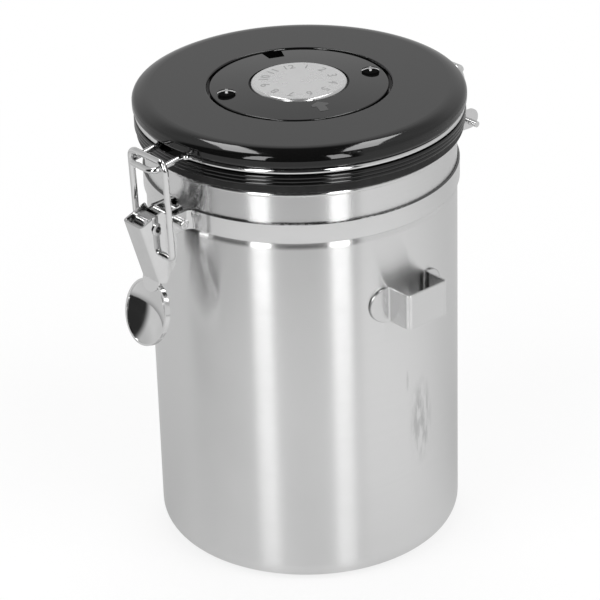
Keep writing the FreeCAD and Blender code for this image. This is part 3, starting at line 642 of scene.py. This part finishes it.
def screw_black():
    """Black paint, rubbed through to the steel in the long slot and in the far half of the cross slot. The
    light grey there is worn paint and a painted highlight on the slots' edges.
    """
    material, n, shader = new_material("screw_black")
    paint = grey(0.006)
    dark = grey(0.5)
    light = grey(0.75)
    paint_rough = (0.25, 0.35)
    bare_rough = 0.5
    bump = 3e-6
    place = n.place()
    wear = n.noise(place, (1500, 1500, 1500), detail=4.0, roughness=0.65)
    side = n.math("SIGN", n.dot(place, SCREW_PLACE))
    nearest = n.add("ShaderNodeVectorMath", {"operation": "SCALE"}, _0=tuple(SCREW_PLACE), Scale=side)
    offset = n.vector("SUBTRACT", place, nearest.outputs["Vector"])
    long_slot = slot_distance(n, offset, SCREW_TURN, -SCREW_RADIUS, SCREW_RADIUS)
    cross_slot = slot_distance(n, offset, SCREW_TURN + math.pi / 2, 0.0, SCREW_CROSS / 2)
    # The slots are light grey: paint worn through, and a painted highlight on their edges.
    bare_and_glint = n.span(n.math("MINIMUM", long_slot, cross_slot), *SCREW_BARE_AND_GLINT_EDGE, 1.0, 0.0)
    colour = n.blend(bare_and_glint, paint, n.blend(wear, dark, light))
    rough = n.mix(bare_and_glint, n.span(wear, *NOISE_CORE, *paint_rough), bare_rough)
    shader.inputs["Specular IOR Level"].default_value = 0.0
    finish_material(n, shader, colour, rough, wear, bump)
    return material


def valve_plastic():
    """Plain moulded plastic with a fine spark-eroded texture."""
    material, n, shader = new_material("valve_plastic")
    dark = grey(0.035)
    light = grey(0.06)
    texture_rough = (0.45, 0.62)
    bump = 1.2e-5
    place = n.place()
    texture = n.noise(place, (3000, 3000, 3000), detail=3.0, roughness=0.6)
    cloud = n.noise(place, (200, 200, 200), detail=2.0)
    rough = n.span(texture, *NOISE_CORE, *texture_rough)
    finish_material(n, shader, n.blend(cloud, dark, light), rough, texture, bump)
    return material


def filter_felt():
    """Pressed felt: fine crossing fibres, off-white."""
    material, n, shader = new_material("filter_felt")
    dark = (0.5, 0.49, 0.45, 1.0)
    light = (0.82, 0.81, 0.77, 1.0)
    fibre_window = (0.3, 0.8)
    fibre_rough = (0.95, 0.8)
    bump = 6e-5
    place = n.place()
    fibres = n.math("MAXIMUM", n.noise(place, (400, 5200, 900), detail=4.0, roughness=0.7),
                    n.noise(place, (5200, 500, 900), detail=4.0, roughness=0.7))
    shader.inputs["Sheen Weight"].default_value = 0.3
    rough = n.span(fibres, *fibre_window, *fibre_rough)
    finish_material(n, shader, n.blend(fibres, dark, light), rough, fibres, bump)
    return material


def dress_nodes():
    """Gives each CAD node the material of its slot in the record. The scoop holder has its own."""
    finishes = {
        "body_steel": body_steel(),
        "band_steel": band_steel(),
        "bright_steel": bright_steel(),
        "lid_plastic": black_plastic("lid_plastic", tone=0.004, gloss=0.05),
        "plate_plastic": black_plastic("plate_plastic", tone=0.006, gloss=0.06),
        "seal_rubber": seal_rubber(),
        "screw_black": screw_black(),
        "dial_silver": dial_silver(),
        "valve_plastic": valve_plastic(),
        "filter_felt": filter_felt(),
    }
    special = {"scoop_holder": holder_steel()}
    for part in frame["record"]["subparts"]:
        slot = part["material_slot"]
        node = frame["nodes"][part["node"]]
        node.data.materials.clear()
        node.data.materials.append(special.get(part["node"], finishes[slot]))


def crown_rise(point, rim, crown):
    """Height over its rim of a round, crowned top at a point."""
    ball = (rim**2 + crown**2) / (2 * crown)
    return crown - ball + math.sqrt(ball**2 - point.x**2 - point.y**2)


def numeral_mesh(text):
    """Flat mesh of a number, as thick as twice its relief, in its own plane."""
    curve = bpy.data.curves.new("numeral", "FONT")
    curve.body = text
    curve.size = NUMERAL_SIZE
    curve.align_x = "CENTER"
    curve.align_y = "CENTER"
    curve.extrude = NUMERAL_RELIEF
    holder = bpy.data.objects.new("numeral", curve)
    bpy.context.scene.collection.objects.link(holder)
    bpy.context.view_layer.update()
    mesh = bpy.data.meshes.new_from_object(holder.evaluated_get(bpy.context.evaluated_depsgraph_get()))
    bpy.data.objects.remove(holder)
    bpy.data.curves.remove(curve)
    return mesh


def add_piece(name, shape, material, body):
    """Makes a piece of a bmesh, on a body of the model."""
    mesh = bpy.data.meshes.new(name)
    shape.to_mesh(mesh)
    shape.free()
    mesh.materials.append(material)
    piece = bpy.data.objects.new(name, mesh)
    bpy.context.scene.collection.objects.link(piece)
    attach(piece, body)


def dial_numerals():
    """The months 1 to 12 round the dial, clockwise, with their tops outwards."""
    shape = bmesh.new()
    for month in range(1, MONTHS + 1):
        angle = TWELVE_ANGLE - MONTH_STEP * month
        mesh = numeral_mesh(str(month))
        turn = Matrix.Rotation(angle - math.pi / 2, 4, "Z")
        mesh.transform(turn @ Matrix.Translation((0, NUMERAL_RING, 0)))
        shape.from_mesh(mesh)
        bpy.data.meshes.remove(mesh)
    for vert in shape.verts:
        vert.co.z += DIAL_TOP - DIAL_CROWN + crown_rise(vert.co, DIAL_RADIUS - DIAL_EDGE, DIAL_CROWN)
    bmesh.ops.remove_doubles(shape, verts=shape.verts, dist=MERGE_DISTANCE)
    ink = printed("numeral_grey", scale=3000, detail=2.0, dark=0.24, light=0.32, rough=(0.45, 0.6))
    add_piece("dial_numerals", shape, ink, "dial")


def index_mark():
    """Low arrow on the cover plate that points at the dial."""
    tip, *half = INDEX_HALF_MM
    outline = [tip, *half, *((x, -y) for x, y in reversed(half))]
    turn = Matrix.Rotation(INDEX_TURN, 4, "Z")
    shape = bmesh.new()
    ring = [shape.verts.new(turn @ Vector((x * MM, y * MM, 0))) for x, y in outline]
    for vert in ring:
        vert.co.z = PLATE_RIM_TOP + crown_rise(vert.co, PLATE_RADIUS, PLATE_CROWN) - INDEX_SINK
    face = shape.faces.new(ring)
    made = bmesh.ops.extrude_face_region(shape, geom=[face])
    raised = [v for v in made["geom"] if isinstance(v, bmesh.types.BMVert)]
    bmesh.ops.translate(shape, verts=raised, vec=(0, 0, INDEX_SINK + INDEX_RELIEF))
    bmesh.ops.recalc_face_normals(shape, faces=shape.faces)
    ink = printed("index_black", scale=2400, detail=3.0, dark=0.045, light=0.06, rough=(0.1, 0.16))
    add_piece("index_mark", shape, ink, "lid")


bpy.context.scene.view_settings.view_transform = "Standard"
add_camera()
build_world()
add_strip_lamps()
add_soft_boxes()
add_floor()
dress_nodes()
dial_numerals()
index_mark()
